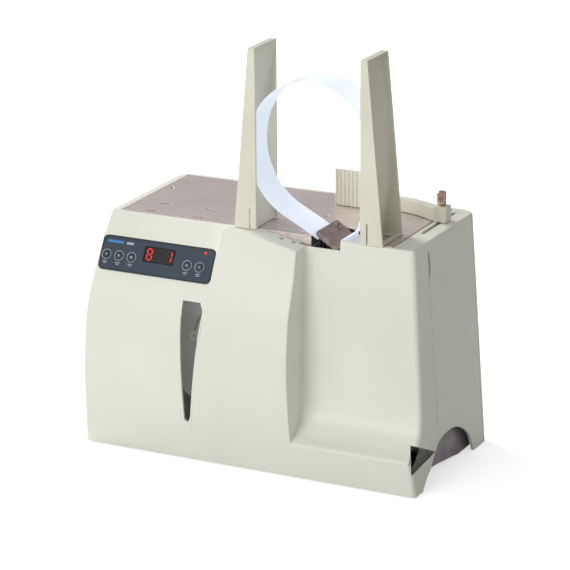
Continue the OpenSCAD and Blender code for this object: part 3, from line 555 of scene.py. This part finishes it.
@dataclass
class Covers:
    """The moulded covers and what is fixed to them.

    Attributes:
        right_corner: Radius of the right front corner, in millimetres.
        left_corner: Radius of the left front corner, beside the panel.
        top_edge: Radius round the top.
        column_edge: Radius of the column's right front edge.
        fillet: Radius of the inner corner between column and recess.
    """

    right_corner: float = 4.5
    left_corner: float = 1.6
    top_edge: float = 2.6
    column_edge: float = 1.5
    fillet: float = 4.5

    @staticmethod
    def on_side(p: Vector) -> bool:
        """Tells whether a point is on the outside of a side wall."""
        return abs(abs(p.x) - (BODY_HALF_W - SIDE_LEAN * p.z)) < 0.25

    def corner(self, a: Vector, b: Vector) -> bool:
        """Tells whether an edge runs up a front corner of the body."""
        return self.on_side(a) and self.on_side(b) and max(a.y, b.y) < 34.5 \
            and abs(a.z - b.z) + abs(a.y - b.y) > 1.0 and max(a.z, b.z) > 3.0

    def right(self, a: Vector, b: Vector) -> bool:
        """Tells whether an edge runs up the right front corner."""
        return a.x > 0 and self.corner(a, b)

    def left(self, a: Vector, b: Vector) -> bool:
        """Tells whether an edge runs up the left front corner."""
        return a.x < 0 and self.corner(a, b)

    def top_side(self, a: Vector, b: Vector) -> bool:
        """Tells whether an edge runs along the outer edge of the top."""
        return self.on_side(a) and self.on_side(b) and min(a.z, b.z) > TABLE_Z - 0.1

    @staticmethod
    def on_column_face(p: Vector) -> bool:
        """Tells whether a point lies in the plane of the column's right wall."""
        return abs(p.x - COLUMN_RIGHT_X) < 0.1

    def column_edge_at(self, mid: Vector) -> float:
        """Radius of the column's right front edge, which runs out towards its foot."""
        return max(0.35, self.column_edge * min(1.0, (mid.z - 38) / 40))

    def fillet_at(self, mid: Vector) -> float:
        """Radius of the recess's inner corner, which runs out towards its foot."""
        return max(0.35, self.fillet * min(1.0, (mid.z - 44) / 50))

    def column_right(self, a: Vector, b: Vector) -> bool:
        """Tells whether an edge runs down the column's right front corner."""
        return self.on_column_face(a) and self.on_column_face(b) and max(a.y, b.y) < 13 \
            and min(a.z, b.z) > 38

    def inner_corner(self, a: Vector, b: Vector) -> bool:
        """Tells whether an edge is the inner corner between the column and the wall of the recess."""
        return self.on_column_face(a) and self.on_column_face(b) and min(a.z, b.z) > 43.5 \
            and 5.5 < min(a.y, b.y) and max(a.y, b.y) < 30.4 and abs(a.z - b.z) > 0.5

    @staticmethod
    def column_top(a: Vector, b: Vector) -> bool:
        """Tells whether an edge is the front edge of the column's top."""
        return min(a.z, b.z) > 226 and max(a.y, b.y) < 13.5 and max(a.x, b.x) < 50.5 \
            and min(a.x, b.x) > -33 and abs(a.x - b.x) > 0.5

    @staticmethod
    def recess_top(a: Vector, b: Vector) -> bool:
        """Tells whether an edge is the top edge of the wall behind the recess."""
        return min(a.z, b.z) > TABLE_Z - 0.1 and 29 < min(a.y, b.y) and max(a.y, b.y) < 31 \
            and min(a.x, b.x) > 80

    @staticmethod
    def column_left(a: Vector, b: Vector) -> bool:
        """Tells whether an edge runs down the slanted left edge of the column."""
        def on(p: Vector) -> bool:
            """Tells whether a point lies on that edge."""
            return abs(p.x - (COLUMN_LEFT_X - COLUMN_SLANT * (TABLE_Z - p.z))) < 0.4
        return on(a) and on(b) and abs(a.z - b.z) > 1 and max(a.y, b.y) < 14 and min(a.z, b.z) > 168

    def rear_top(self, a: Vector, b: Vector) -> bool:
        """Tells whether an edge runs round the outside of the rear cover's top."""
        return min(a.z, b.z) > TABLE_Z - 0.1 and (max(a.y, b.y) > 178 or (
            self.on_side(a) or self.on_side(b)) or self.rear_corner(a, b))

    @staticmethod
    def rear_corner(a: Vector, b: Vector) -> bool:
        """Tells whether an edge lies on a rear corner of the top."""
        mid = (a + b) / 2
        across = Vector((abs(mid.x) - (BODY_HALF_W - SIDE_LEAN * TABLE_Z - 15), mid.y - 165))
        return across.x > -1 and across.y > -1 and across.length > 14

    @staticmethod
    def notch_scoop() -> None:
        """Builds the shallow scoop behind the finger notch in the right side cover's edge."""
        bm = bmesh.new()
        bmesh.ops.create_uvsphere(bm, u_segments=48, v_segments=24, radius=1.0)
        bmesh.ops.bisect_plane(bm, geom=bm.verts[:] + bm.edges[:] + bm.faces[:], plane_co=(0, 0.15, 0),
                               plane_no=(0, -1, 0), clear_outer=True)
        bmesh.ops.bisect_plane(bm, geom=bm.verts[:] + bm.edges[:] + bm.faces[:], plane_co=(0, 0, 0),
                               plane_no=(1, 0, 0), clear_outer=True)
        middle = Matrix.Translation((161.9 * MM, (57.5 + FRONT_EDGE_Y) * MM, 214 * MM))
        size = Matrix.Diagonal((2.6 * MM, 12.5 * MM, 18.5 * MM, 1))
        lean = Matrix.Rotation(-math.atan(SIDE_LEAN), 4, "Y")
        bmesh.ops.transform(bm, matrix=middle @ lean @ size, verts=bm.verts)
        thing = new_object("finger_scoop", bm, COVER)
        wall = thing.modifiers.new("wall", "SOLIDIFY")
        wall.thickness = 0.8 * MM
        wall.offset = 1
        bake_modifiers(thing)
        place_piece(thing, "machine", "cover_plastic")

    def build(self) -> None:
        """Builds the covers, the window and the screws."""
        front = Rounding(0.35, (
            (self.column_edge_at, self.column_right),
            (self.fillet_at, self.inner_corner),
            (self.right_corner, self.right),
            (self.left_corner, self.left),
            (self.top_edge, self.top_side),
            (1.6, self.column_top),
            (2.0, self.recess_top),
            (1.2, self.column_left)), 4)
        rounded("front_cover", COVER, front)
        side = Rounding(0.4, ((self.top_edge, self.top_side),), 4)
        rounded("right_side_cover", COVER, side)
        rounded("left_side_cover", COVER, side)
        rounded("rear_cover", COVER, Rounding(0.4, ((self.top_edge, self.rear_top),), 4))
        self.notch_scoop()
        rounded("window_pane", WINDOW, Rounding(0.15, segments=1))
        rounded("sensor_lenses", LENS, Rounding(0.15))
        rounded("cover_screws", PLATED, Rounding(0.5))
        for node in ("door_hinge_leaves", "body_hinge_leaves", "hinge_pins"):
            rounded(node, PLATED, Rounding(0.15, segments=2))


# ---- control panel -------------------------------------------------------------------------


@dataclass
class ControlPanel:
    """The slanted panel: printed film, display, keys and lamp.

    Attributes:
        digit_h: Height of a digit.
        digit_w: Width of a digit.
        stroke: Width of a digit's stroke.
        pitch: Distance between digits.
        shown: The digits shown, with blanks.
    """

    digit_h: float = 11.0
    digit_w: float = 5.0
    stroke: float = 1.1
    pitch: float = 7.2
    shown: str = "8  1"
    border: float = 1.3

    def frame_at(self, node: str, lift: float) -> Matrix:
        """A frame on the panel over a node's middle: x along the panel, y up it, z out of it.

        Args:
            node: The CAD node whose middle is meant.
            lift: Height above that middle, in millimetres.

        Returns:
            The frame in metres.
        """
        turn = Matrix.Rotation(math.radians(90) - PANEL_TILT, 4, "X")
        return Matrix.Translation(box_mid(node)) @ turn @ Matrix.Translation((0, 0, lift * MM))

    @staticmethod
    def plate(bm: bmesh.types.BMesh, at: Matrix, size: Tuple[float, float], thick: float,
              corner: float) -> None:
        """Adds a flat plate with rounded corners.

        Args:
            bm: The mesh that it is added to.
            at: Frame of its bottom's middle, in metres.
            size: Width and height in millimetres.
            thick: Thickness in millimetres.
            corner: Corner radius in millimetres.
        """
        made = bmesh.ops.create_grid(bm, x_segments=1, y_segments=1, size=0.5 * MM, matrix=Matrix.Identity(4))
        for v in made["verts"]:
            v.co.x *= size[0]
            v.co.y *= size[1]
        corners = made["verts"]
        if corner > 0:
            made = bmesh.ops.bevel(bm, geom=corners, affect="VERTICES", offset=corner * MM, segments=5,
                                   profile=0.5, material=-1)
            faces = list({f for v in made["verts"] for f in v.link_faces})
        else:
            faces = list({f for v in corners for f in v.link_faces})
        out = bmesh.ops.extrude_face_region(bm, geom=faces)
        top = [g for g in out["geom"] if isinstance(g, bmesh.types.BMVert)]
        bmesh.ops.translate(bm, verts=top, vec=(0, 0, thick * MM))
        whole = set(top) | {v for f in faces if f.is_valid for v in f.verts}
        bmesh.ops.transform(bm, matrix=at, verts=list(whole))

    def segments(self, digit: str) -> List[bool]:
        """Which of the seven segments of a digit are lit: top, right top, right low, low, left low,
        left top, middle."""
        lit = {"8": "1111111", "1": "0110000", "7": "1110000", " ": "0000000"}[digit]
        return [c == "1" for c in lit]

    def digits(self) -> None:
        """Builds the digits as thin hexagonal bars on the lens."""
        half_w, half_h = self.digit_w / 2, self.digit_h / 2
        bars = [((0, half_h), 0), ((half_w, half_h / 2), 90), ((half_w, -half_h / 2), 90),
                ((0, -half_h), 0), ((-half_w, -half_h / 2), 90), ((-half_w, half_h / 2), 90), ((0, 0), 0)]
        at = self.frame_at("display_window", 0.72)
        meshes = {True: bmesh.new(), False: bmesh.new()}
        for place, digit in enumerate(self.shown):
            for lit, ((x, y), turn) in zip(self.segments(digit), bars):
                bm = meshes[lit]
                length = (self.digit_w if turn == 0 else half_h) - 0.35
                made = bmesh.ops.create_circle(bm, cap_ends=True, segments=6, radius=0.5 * MM)
                verts = made["verts"]
                for v in verts:
                    v.co.x = math.copysign(
                        length / 2 - (0 if abs(v.co.y) < 0.1 * MM else self.stroke / 2), v.co.x) * MM
                    v.co.y = 0 if abs(v.co.y) < 0.1 * MM else math.copysign(self.stroke / 2 * MM, v.co.y)
                face = list({f for v in verts for f in v.link_faces})
                out = bmesh.ops.extrude_face_region(bm, geom=face)
                top = [g for g in out["geom"] if isinstance(g, bmesh.types.BMVert)]
                bmesh.ops.translate(bm, verts=top, vec=(0, 0, 0.12 * MM))
                offset = (place - (len(self.shown) - 1) / 2) * self.pitch
                local = Matrix.Translation(((offset + x) * MM, y * MM, 0)) \
                    @ Matrix.Rotation(math.radians(turn), 4, "Z")
                bmesh.ops.transform(bm, matrix=at @ local, verts=list(set(top) | set(verts)))
        for lit, name, finish in ((True, "lit_segments", DIGIT), (False, "unlit_segments", DIGIT_OFF)):
            bm = meshes[lit]
            bmesh.ops.recalc_face_normals(bm, faces=bm.faces)
            place_piece(new_object(name, bm, finish), "front_door", "display_lens")

    def border_frame(self) -> None:
        """Builds the darker printed border as a thin raised frame round the film."""
        low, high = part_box("control_panel")
        width = (high.x - low.x) / MM
        height = (high.z - low.z) / MM / math.cos(PANEL_TILT) - 1.6 * math.tan(PANEL_TILT)
        bm = bmesh.new()
        self.plate(bm, self.frame_at("control_panel", 0.78), (width - 0.3, height - 0.3), 0.12, 5)
        self.hollow(bm, self.border)
        place_piece(new_object("panel_border", bm, PANEL_EDGE), "front_door", "panel_film")

    @staticmethod
    def hollow(bm: bmesh.types.BMesh, rim: float) -> None:
        """Cuts the middle out of a plate, leaving a rim of the given width in millimetres."""
        big = sorted(bm.faces, key=lambda f: -f.calc_area())[:2]
        bmesh.ops.inset_region(bm, faces=big, thickness=rim * MM, use_even_offset=True)
        middles = [f for f in big if f.is_valid]
        bmesh.ops.bridge_loops(bm, edges=[e for f in middles for e in f.edges])
        bmesh.ops.delete(bm, geom=middles, context="FACES_ONLY")
        bmesh.ops.recalc_face_normals(bm, faces=bm.faces)

    def marks(self) -> None:
        """Builds the pale and blue marks: printed bars at the top left, a printed legend under each key, and
        a pale ring round each key that is a painted highlight.
        """
        pale, blue = bmesh.new(), bmesh.new()
        base = self.frame_at("control_panel", 0.78)
        self.plate(blue, base @ Matrix.Translation((-48 * MM, 11.5 * MM, 0)), (17.5, 2.6), 0.06, 0.6)
        self.plate(pale, base @ Matrix.Translation((-32 * MM, 11.3 * MM, 0)), (7.5, 2.3), 0.06, 0.5)
        for key in KEYS:
            here = self.frame_at(key, 0)
            key_at = base.inverted() @ here.translation
            # a short legend under each key
            for row, length in ((-6.6, 5.2), (-8.2, 3.4)):
                self.plate(pale, base @ Matrix.Translation((key_at.x, key_at.y + row * MM - 0.6 * MM, 0)),
                           (length, 0.7), 0.06, 0.2)
            # a pale ring round each key: a painted highlight standing in for the light on the rim of a domed
            # key, not print
            ring(pale, base @ Matrix.Translation((key_at.x, key_at.y, 0)), 5.1, 4.5, 0.1)
        place_piece(new_object("pale_prints_and_painted_key_highlights", pale, MARK), "front_door", "panel_film")
        place_piece(new_object("blue_mark", blue, MARK_BLUE), "front_door", "panel_film")

    def key_signs(self) -> None:
        """Builds the sign on each key: a triangle, a square or a disc, as on any machine's keys."""
        for key, count in zip(KEYS, SIGN_SIDES):
            bm = bmesh.new()
            panel = self.frame_at("control_panel", 0.8)
            middle = panel.inverted() @ box_mid(key)
            at = panel @ Matrix.Translation((middle.x, middle.y, KEY_PROUD * MM))
            bmesh.ops.create_circle(bm, cap_ends=True, segments=count, radius=1.2 * MM)
            out = bmesh.ops.extrude_face_region(bm, geom=list(bm.faces))
            top = [g for g in out["geom"] if isinstance(g, bmesh.types.BMVert)]
            bmesh.ops.translate(bm, verts=top, vec=(0, 0, 0.08 * MM))
            turn = Matrix.Rotation(math.radians(45 if count == 4 else 0), 4, "Z")
            bmesh.ops.transform(bm, matrix=at @ turn, verts=bm.verts)
            bmesh.ops.recalc_face_normals(bm, faces=bm.faces)
            place_piece(new_object(key + "_sign", bm, MARK), key, "button_plastic")

    def build(self) -> None:
        """Builds the whole panel."""
        rounded("control_panel", PANEL, Rounding(0.25, segments=2))
        rounded("display_window", LENS, Rounding(0.3, segments=2))
        rounded("panel_board", BOARD, Rounding(0.15, segments=1))
        rounded("indicator_lamp", LAMP, Rounding(0.5))
        for key in KEYS:
            rounded(key, KEY, Rounding(0.35))
        self.border_frame()
        self.digits()
        self.marks()
        self.key_signs()


# ---- guides, tape and head -----------------------------------------------------------------


@dataclass
class TapeWorks:
    """The loop guides, the tape and the sealing head with its drive."""

    def build(self) -> None:
        """Builds every piece from its CAD solid."""
        guide = Rounding(0.5, segments=3)
        rounded("left_guide", GUIDE, guide)
        rounded("right_guide", GUIDE, guide)
        rounded("tape_loop", PAPER, Rounding(0.05, segments=1, sharp_deg=60))
        rounded("tape_fin", GUIDE, Rounding(0.4))
        rounded("head_cap", CAP, Rounding(0.5))
        rounded("head_fins", DARK_STEEL, Rounding(0.2))
        rounded("anvil_blade", GROUND, Rounding(0.25))
        for node in ("left_gripper", "right_gripper", "press_guide", "pinch_roller"):
            rounded(node, MILLED, Rounding(0.4))
        rounded("heater_press", BRASS, Rounding(0.3))
        rounded("cam_shaft", PLATED, Rounding(0.6))
        rounded("feed_shaft", PLATED, Rounding(0.5))
        rounded("press_cams", GROUND, Rounding(0.3))
        rounded("cam_gear", BRASS, Rounding(0.12, segments=1))
        rounded("motor_pinion", BRASS, Rounding(0.12, segments=1))
        rounded("cam_bearings", PLATED, Rounding(0.4))
        rounded("cam_motor", MOTOR, Rounding(0.8))
        rounded("feed_motor", MOTOR, Rounding(1.2))
        rounded("feed_roller", RUBBER, Rounding(0.6))
        rounded("pinch_arm", PLATED, Rounding(0.3))
        rounded("tape_chute", CHASSIS, Rounding(0.3))
        self.roll()
        self.hub_rings()

    @staticmethod
    def hub_rings() -> None:
        """Builds the rings moulded on the hub's face, and the tab that holds the roll's end."""
        axis, face = box_mid("spool_hub"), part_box("spool_hub")[0].y
        turn = Matrix.Translation((axis.x, face - 0.1 * MM, axis.z)) \
            @ Matrix.Rotation(math.radians(90), 4, "X")
        rings = (("hub_rim", HUB, 29.5, 26.4, 1.6), ("hub_band", CLIP, 26.2, 20.8, 0.8),
                 ("hub_boss", HUB, 20.6, 13.5, 1.3))
        for name, finish, outer, inner, thick in rings:
            bm = bmesh.new()
            ring(bm, turn, outer, inner, thick)
            place_piece(new_object(name, bm, finish), "spool", "hub_plastic")
        bm = bmesh.new()
        ring(bm, turn @ Matrix.Translation((-32.5 * MM, 0, -1.1 * MM)), 5.2, 2.4, 1.4)
        place_piece(new_object("roll_end_tab", bm, HUB), "spool", "hub_plastic")

    @staticmethod
    def roll() -> None:
        """Builds the tape roll on its hub."""
        axis = box_mid("tape_roll")
        # the roll's faint glow is painted light that brightens it inside the dark housing, since the roll is
        # no lamp
        paper = RolledPaper("Wound_paper_roll", "dcddd9", "b9bab6", 0.7, 0.04, grain_mm=1.0,
                            relief_mm=0.01, patch_mm=40, glow=0.1, axis_mm=(axis.x / MM, axis.z / MM))
        rounded("tape_roll", paper, Rounding(0.3, segments=2))
        rounded("roll_core", CORE, Rounding(0.3, segments=2))
        rounded("spool_hub", HUB, Rounding(0.6))
        rounded("hub_clip", CLIP, Rounding(0.5))
        rounded("spindle", PLATED, Rounding(0.7))


# ---- table and back stop -------------------------------------------------------------------


@dataclass
class TableTop:
    """The table plate and the back stop with its knob.

    Attributes:
        knurls: Ridges round the knob.
        knurl_depth: Depth of a ridge, in millimetres.
    """

    knurls: int = 30
    knurl_depth: float = 0.35

    def knob(self) -> None:
        """Builds the clamp knob with straight ridges between two smooth bands."""
        low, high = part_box("clamp_knob")
        mid = (low + high) / 2
        top = high.z / MM
        bm = bmesh.new()
        levels = [TABLE_Z + 17.0, TABLE_Z + 19.0, TABLE_Z + 19.6, top - 2.4, top - 1.8, top - 0.7]
        ring = bmesh.ops.create_circle(bm, cap_ends=True, segments=self.knurls * 2, radius=4.1 * MM)["verts"]
        bmesh.ops.translate(bm, verts=ring, vec=(mid.x, mid.y, levels[0] * MM))
        face = list(bm.faces)
        for level, (outer, inner) in zip(levels[1:], ((4.5, 4.5), (4.5, 4.5 - self.knurl_depth),
                                                      (4.5, 4.5 - self.knurl_depth), (4.5, 4.5), (4.5, 4.5))):
            out = bmesh.ops.extrude_face_region(bm, geom=face)
            face = [g for g in out["geom"] if isinstance(g, bmesh.types.BMFace)]
            self.ring_to(face[0], mid, level, outer, inner)
        out = bmesh.ops.extrude_face_region(bm, geom=face)
        face = [g for g in out["geom"] if isinstance(g, bmesh.types.BMFace)]
        self.ring_to(face[0], mid, top, 3.8, 3.8)
        bmesh.ops.recalc_face_normals(bm, faces=bm.faces)
        stem = bmesh.ops.create_cone(bm, cap_ends=True, segments=32, radius1=1.75 * MM, radius2=1.75 * MM,
                                     depth=(TABLE_Z + 17.2 - low.z / MM) * MM)["verts"]
        bmesh.ops.translate(bm, verts=stem, vec=(mid.x, mid.y, (low.z + (TABLE_Z + 17.2) * MM) / 2))
        collar = bmesh.ops.create_cone(bm, cap_ends=True, segments=32, radius1=3.4 * MM, radius2=3.4 * MM,
                                       depth=1.2 * MM)["verts"]
        bmesh.ops.translate(bm, verts=collar, vec=(mid.x, mid.y, (TABLE_Z + 16.65) * MM))
        place_piece(new_object("clamp_knob_finished", bm, KNOB, 25), "clamp_knob", "fin_steel", "clamp_knob")

    @staticmethod
    def ring_to(face: bmesh.types.BMFace, mid: Vector, level: float, outer: float, inner: float) -> None:
        """Moves the points of a round face to a height and to two radii in turn.

        Args:
            face: The round face.
            mid: The knob's middle, in metres.
            level: Height in millimetres.
            outer: Radius of the even points.
            inner: Radius of the odd points.
        """
        for i, loop in enumerate(face.loops):
            v = loop.vert
            arm = Vector((v.co.x - mid.x, v.co.y - mid.y, 0)).normalized() * (outer if i % 2 else inner) * MM
            v.co = Vector((mid.x + arm.x, mid.y + arm.y, level * MM))

    def build(self) -> None:
        """Builds the table plate and the back stop."""
        rounded("table_plate", TABLE, Rounding(0.35))
        rounded("backstop_fence", GUIDE, Rounding(0.45, segments=3))
        rounded("clamp_nut", PLATED, Rounding(0.4))
        self.knob()


# ---- chassis and electrics -----------------------------------------------------------------


@dataclass
class Chassis:
    """The sheet-metal frame, the feet and the electrical pieces."""

    def build(self) -> None:
        """Builds the frame and what is fixed in it."""
        for node in ("base_tray", "chassis_sides"):
            rounded(node, CHASSIS, Rounding(0.3, segments=2))
        rounded("mechanism_plate", PLATED, Rounding(0.3, segments=2))
        rounded("rubber_feet", RUBBER, Rounding(1.0))
        rounded("transformer", TRANSFORMER, Rounding(0.8))
        rounded("controller_board", BOARD, Rounding(0.2, segments=1))
        rounded("power_inlet", BLACK, Rounding(0.5))
        rounded("power_switch", BLACK, Rounding(0.4))
        rounded("switch_rocker", BLACK, Rounding(0.5))


# ---- studio --------------------------------------------------------------------------------


@dataclass
class Studio:
    """Floor, light and camera.

    Attributes:
        eye: The camera's place in metres.
        azimuth: Its turn to the right of the front, in degrees.
        elevation: Its angle above the horizon.
        roll: Its roll.
        lens: Focal length in millimetres on a 36 mm sensor.
    """

    eye: Tuple[float, float, float] = (1.25678, -2.48994, 1.06789)
    azimuth: float = 26.78
    elevation: float = 17.95
    roll: float = -0.43
    lens: float = 188.54

    def camera(self) -> None:
        """Places the camera."""
        data = bpy.data.cameras.new("camera")
        data.lens = self.lens
        data.sensor_width = 36
        data.clip_end = 50
        camera = bpy.data.objects.new("camera", data)
        bpy.context.scene.collection.objects.link(camera)
        turn = Matrix.Rotation(math.radians(self.azimuth), 4, "Z") \
            @ Matrix.Rotation(math.radians(90 - self.elevation), 4, "X") \
            @ Matrix.Rotation(math.radians(self.roll), 4, "Z")
        camera.matrix_world = Matrix.Translation(self.eye) @ turn
        bpy.context.scene.camera = camera

    @staticmethod
    def floor() -> None:
        """Lays a plain pale floor."""
        bm = bmesh.new()
        bmesh.ops.create_grid(bm, x_segments=1, y_segments=1, size=8.0)
        material = bpy.data.materials.new("Pale_floor")
        material.use_nodes = True
        shader = material.node_tree.nodes["Principled BSDF"]
        shader.inputs["Base Color"].default_value = linear("d8d8d6")
        shader.inputs["Roughness"].default_value = 0.9
        # a light table under the product: lit from below so that it stays white, with a soft shadow
        seen = add_node(material.node_tree, "ShaderNodeLightPath").outputs["Is Camera Ray"]
        glow = add_node(material.node_tree, "ShaderNodeMath", {0: seen, 1: 0.62}, operation="MULTIPLY")
        shader.inputs["Emission Color"].default_value = linear("ffffff")
        material.node_tree.links.new(glow.outputs[0], shader.inputs["Emission Strength"])
        mesh = bpy.data.meshes.new("floor")
        bm.to_mesh(mesh)
        bm.free()
        mesh.materials.append(material)
        floor = bpy.data.objects.new("floor", mesh)
        bpy.context.scene.collection.objects.link(floor)

    @staticmethod
    def air() -> None:
        """Fills the studio with even white light, brighter where the camera sees it directly."""
        world = bpy.data.worlds.new("studio_air")
        world.use_nodes = True
        tree = world.node_tree
        tree.nodes.clear()
        seen = add_node(tree, "ShaderNodeLightPath").outputs["Is Camera Ray"]
        strength = add_node(tree, "ShaderNodeMapRange", {0: seen, 3: 0.4, 4: 1.05})
        back = add_node(tree, "ShaderNodeBackground", {
            "Color": linear("ffffff"), "Strength": strength.outputs[0]})
        add_node(tree, "ShaderNodeOutputWorld", {"Surface": back.outputs[0]})
        bpy.context.scene.world = world

    @staticmethod
    def lamp(name: str, at: Tuple[float, float, float], size: float, watts: float,
             colour: str = "ffffff") -> None:
        """Hangs a square soft light that looks at the machine.

        Args:
            name: The light's name.
            at: Its place in metres.
            size: Its side in metres.
            watts: Its power.
            colour: Its sRGB hex colour.
        """
        data = bpy.data.lights.new(name, "AREA")
        data.size = size
        data.energy = watts
        data.color = linear(colour)[:3]
        light = bpy.data.objects.new(name, data)
        bpy.context.scene.collection.objects.link(light)
        aim = Vector((0, 0, 0.2)) - Vector(at)
        light.rotation_euler = aim.to_track_quat("-Z", "Y").to_euler()
        light.location = at

    def build(self) -> None:
        """Sets up floor, light and camera."""
        self.camera()
        self.floor()
        self.air()
        bpy.context.scene.view_settings.view_transform = "Standard"
        self.lamp("key", (-0.8, -3.2, 1.5), 1.8, 48)
        self.lamp("front", (0.1, -3.5, 1.3), 1.8, 16)
        self.lamp("left", (-2.6, 0.9, 1.5), 1.6, 105)


def main() -> None:
    """Builds the machine around its frame and sets the scene."""
    logging.basicConfig(level=logging.INFO, format="%(message)s")
    Studio().build()
    for part in (Covers(), ControlPanel(), TapeWorks(), TableTop(), Chassis()):
        part.build()
        LOG.info("%s done", type(part).__name__)
    left = [n for n, o in frame["nodes"].items() if not o.hide_render]
    LOG.info("CAD nodes still shown: %s", left)


if __name__ == "__main__":
    main()
